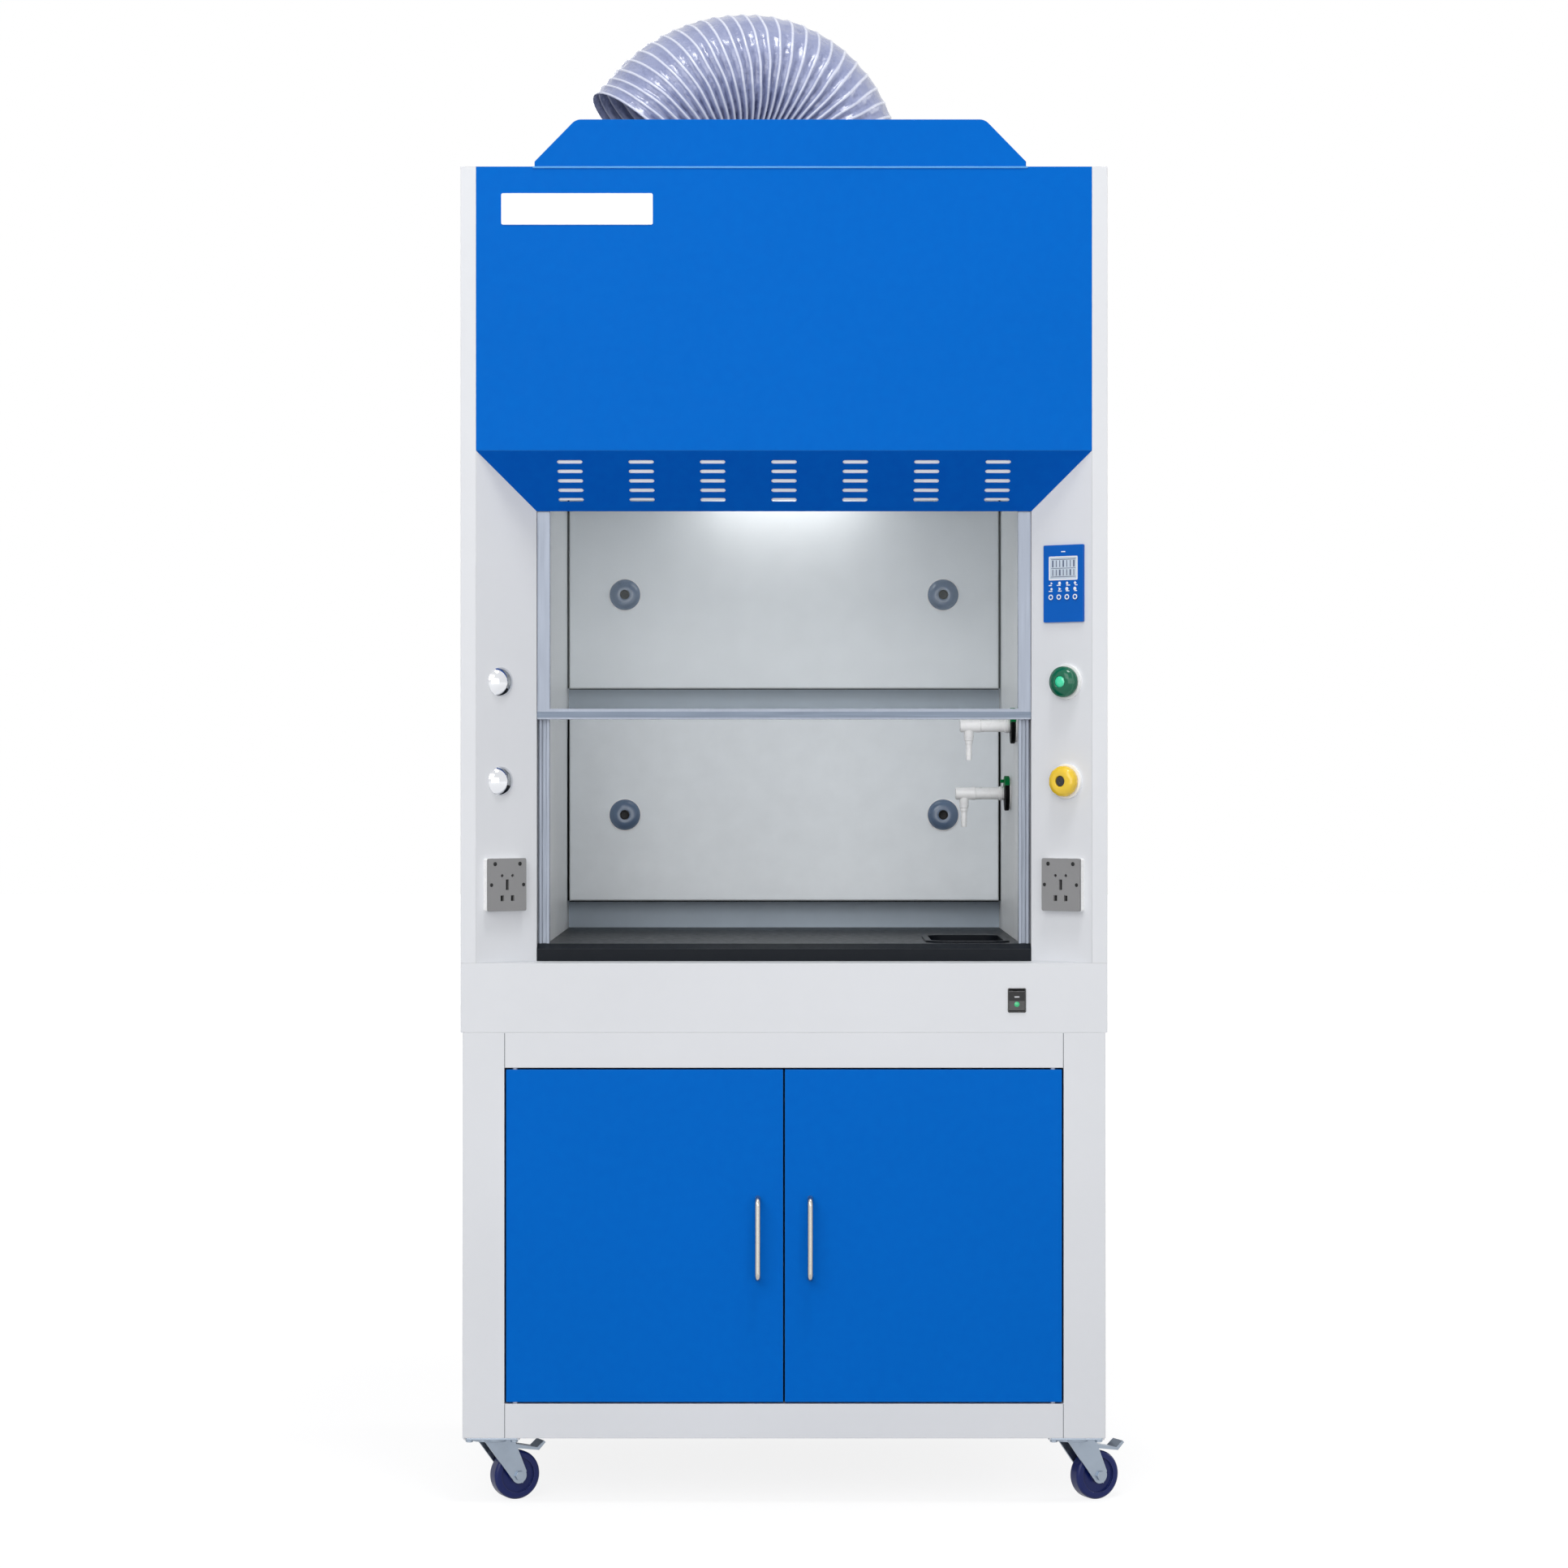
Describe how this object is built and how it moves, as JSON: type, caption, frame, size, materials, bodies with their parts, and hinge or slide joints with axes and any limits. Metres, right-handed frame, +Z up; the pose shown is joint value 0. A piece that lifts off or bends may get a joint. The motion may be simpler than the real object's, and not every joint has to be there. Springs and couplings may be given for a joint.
{
  "type": "ducted fume hood",
  "caption": "Ducted fume hood: a lit, baffled chamber behind a balanced glass sash, with side services and a cup sink, on a two-door base with casters and an exhaust hose.",
  "frame": {"origin": "on the floor, under the middle of the body's width and depth", "axes": "+X to the right of someone facing the sash, +Y to the back, +Z up"},
  "size_m": [1.1067, 0.87, 2.486],
  "materials": {
    "blue_paint": "satin",
    "grey_paint": "satin",
    "aluminium": "satin",
    "sash_glass": "clear",
    "black_resin": "satin",
    "liner_grey": "satin",
    "knob_slate": "gloss",
    "lamp_white": "satin",
    "white_plastic": "gloss",
    "panel_blue": "satin",
    "key_metal": "polished",
    "green_plastic": "gloss",
    "yellow_plastic": "gloss",
    "black_plastic": "gloss",
    "socket_grey": "satin",
    "chrome": "polished",
    "nickel": "satin",
    "zinc": "satin",
    "wheel_navy": "satin",
    "hose_grey": "satin",
    "fan_plastic": "matt",
    "motor_grey": "satin",
    "inner_steel": "satin",
    "weight_iron": "matt",
    "trap_white": "satin"
  },
  "bodies": {
    "cabinet": {"apron": "grey_paint", "back_panel": "grey_paint", "baffle_knobs": "knob_slate", "baffle_lower": "liner_grey", "baffle_upper": "liner_grey", "base_carcass": "grey_paint", "blanking_plugs": "chrome", "chamber_lamp": "lamp_white", "control_panel": "panel_blue", "cowl": "blue_paint", "cup_sink": "black_resin", "exhaust_hose": "hose_grey", "fan_housing": "fan_plastic", "fan_motor": "motor_grey", "front_posts": "grey_paint", "hose_clamp": "inner_steel", "liner_back": "liner_grey", "liner_ceiling": "liner_grey", "liner_sides": "liner_grey", "name_plate": "white_plastic", "pulley_brackets": "inner_steel", "roof_panel": "grey_paint", "sash_cables_front": "inner_steel", "sash_cables_rear": "inner_steel", "sash_tracks": "aluminium", "service_outlets": "white_plastic", "side_panels": "grey_paint", "sink_trap": "trap_white", "socket_boxes": "white_plastic", "socket_plates": "socket_grey", "upper_fascia": "blue_paint", "valance": "blue_paint", "valve_bases": "white_plastic", "worktop": "black_resin"},
    "sash": {"sash_frame": "aluminium", "sash_glass": "sash_glass"},
    "counterweights": {"counterweights": "weight_iron"},
    "pulley_shaft": {"pulley_shaft": "inner_steel"},
    "fan_wheel": {"fan_wheel": "fan_plastic"},
    "water_valve_knob": {"water_valve_knob": "green_plastic"},
    "gas_valve_knob": {"gas_valve_knob": "yellow_plastic"},
    "power_rocker": {"power_rocker": "black_plastic"},
    "door_left": {"door_left": "blue_paint", "door_handle_left": "nickel"},
    "door_right": {"door_right": "blue_paint", "door_handle_right": "nickel"},
    "panel_key_1": {"panel_key_1": "key_metal"},
    "panel_key_2": {"panel_key_2": "key_metal"},
    "panel_key_3": {"panel_key_3": "key_metal"},
    "panel_key_4": {"panel_key_4": "key_metal"},
    "caster_fork_front_left": {"caster_fork_front_left": "zinc"},
    "caster_wheel_front_left": {"caster_wheel_front_left": "wheel_navy"},
    "caster_fork_front_right": {"caster_fork_front_right": "zinc"},
    "caster_wheel_front_right": {"caster_wheel_front_right": "wheel_navy"},
    "caster_fork_rear_left": {"caster_fork_rear_left": "zinc"},
    "caster_wheel_rear_left": {"caster_wheel_rear_left": "wheel_navy"},
    "caster_fork_rear_right": {"caster_fork_rear_right": "zinc"},
    "caster_wheel_rear_right": {"caster_wheel_rear_right": "wheel_navy"},
    "brake_pedal_front_left": {"brake_pedal_front_left": "zinc"},
    "brake_pedal_front_right": {"brake_pedal_front_right": "zinc"}
  },
  "joints": [
    {"name": "sash_slide", "type": "slide", "parent": "cabinet", "child": "sash", "axis": [0, 0, 1], "range_m": [-0.3685, 0.11], "deforming": ["sash_cables_front"]},
    {"name": "counterweight_slide", "type": "slide", "parent": "cabinet", "child": "counterweights", "axis": [0, 0, 1], "range_m": [-0.11, 0.3685], "deforming": ["sash_cables_rear"]},
    {"name": "pulley_turn", "type": "hinge", "parent": "cabinet", "child": "pulley_shaft", "pos_m": [0, -0.2918, 2.142], "axis": [1, 0, 0], "range_deg": [-250, 830]},
    {"name": "fan_spin", "type": "hinge", "parent": "cabinet", "child": "fan_wheel", "pos_m": [0.015, 0, 1.89], "axis": [0, -1, 0], "continuous": true},
    {"name": "door_left_hinge", "type": "hinge", "parent": "cabinet", "child": "door_left", "pos_m": [-0.437, -0.392, 0.4378], "axis": [0, 0, -1], "range_deg": [0, 110]},
    {"name": "door_right_hinge", "type": "hinge", "parent": "cabinet", "child": "door_right", "pos_m": [0.437, -0.392, 0.4378], "axis": [0, 0, 1], "range_deg": [0, 110]},
    {"name": "water_valve_turn", "type": "hinge", "parent": "cabinet", "child": "water_valve_knob", "pos_m": [0.46186, -0.37119, 1.3375], "axis": [-0.6027, -0.798, 0], "range_deg": [0, 270]},
    {"name": "gas_valve_turn", "type": "hinge", "parent": "cabinet", "child": "gas_valve_knob", "pos_m": [0.46186, -0.37119, 1.1755], "axis": [-0.6027, -0.798, 0], "range_deg": [0, 90]},
    {"name": "power_rocker_tilt", "type": "hinge", "parent": "cabinet", "child": "power_rocker", "pos_m": [0.378, -0.394, 0.82], "axis": [1, 0, 0], "range_deg": [-14, 0]},
    {"name": "panel_key_1_press", "type": "slide", "parent": "cabinet", "child": "panel_key_1", "axis": [0.6027, 0.798, 0], "range_m": [0, 0.001], "stiffness_N_per_m": 250, "springref_m": -0.002},
    {"name": "panel_key_2_press", "type": "slide", "parent": "cabinet", "child": "panel_key_2", "axis": [0.6027, 0.798, 0], "range_m": [0, 0.001], "stiffness_N_per_m": 250, "springref_m": -0.002},
    {"name": "panel_key_3_press", "type": "slide", "parent": "cabinet", "child": "panel_key_3", "axis": [0.6027, 0.798, 0], "range_m": [0, 0.001], "stiffness_N_per_m": 250, "springref_m": -0.002},
    {"name": "panel_key_4_press", "type": "slide", "parent": "cabinet", "child": "panel_key_4", "axis": [0.6027, 0.798, 0], "range_m": [0, 0.001], "stiffness_N_per_m": 250, "springref_m": -0.002},
    {"name": "caster_swivel_front_left", "type": "hinge", "parent": "cabinet", "child": "caster_fork_front_left", "pos_m": [-0.475, -0.354, 0.1025], "axis": [0, 0, 1], "continuous": true},
    {"name": "caster_roll_front_left", "type": "hinge", "parent": "caster_fork_front_left", "child": "caster_wheel_front_left", "pos_m": [-0.44145, -0.33616, 0.04], "axis": [0.4695, -0.8829, 0], "continuous": true},
    {"name": "caster_swivel_front_right", "type": "hinge", "parent": "cabinet", "child": "caster_fork_front_right", "pos_m": [0.475, -0.354, 0.1025], "axis": [0, 0, 1], "continuous": true},
    {"name": "caster_roll_front_right", "type": "hinge", "parent": "caster_fork_front_right", "child": "caster_wheel_front_right", "pos_m": [0.50855, -0.33616, 0.04], "axis": [0.4695, -0.8829, 0], "continuous": true},
    {"name": "caster_swivel_rear_left", "type": "hinge", "parent": "cabinet", "child": "caster_fork_rear_left", "pos_m": [-0.475, 0.354, 0.1025], "axis": [0, 0, 1], "continuous": true},
    {"name": "caster_roll_rear_left", "type": "hinge", "parent": "caster_fork_rear_left", "child": "caster_wheel_rear_left", "pos_m": [-0.50855, 0.33616, 0.04], "axis": [-0.4695, 0.8829, 0], "continuous": true},
    {"name": "caster_swivel_rear_right", "type": "hinge", "parent": "cabinet", "child": "caster_fork_rear_right", "pos_m": [0.475, 0.354, 0.1025], "axis": [0, 0, 1], "continuous": true},
    {"name": "caster_roll_rear_right", "type": "hinge", "parent": "caster_fork_rear_right", "child": "caster_wheel_rear_right", "pos_m": [0.44145, 0.33616, 0.04], "axis": [-0.4695, 0.8829, 0], "continuous": true},
    {"name": "brake_pedal_front_left_press", "type": "hinge", "parent": "caster_fork_front_left", "child": "brake_pedal_front_left", "pos_m": [-0.45028, -0.34085, 0.089], "axis": [0.4695, -0.8829, 0], "range_deg": [-8, 0]},
    {"name": "brake_pedal_front_right_press", "type": "hinge", "parent": "caster_fork_front_right", "child": "brake_pedal_front_right", "pos_m": [0.49972, -0.34085, 0.089], "axis": [0.4695, -0.8829, 0], "range_deg": [-8, 0]}
  ],
  "couplings": [
    {"joint": "counterweight_slide", "follows": "sash_slide", "ratio": -1},
    {"joint": "pulley_turn", "follows": "sash_slide", "rad_per_m": -39.216}
  ]
}
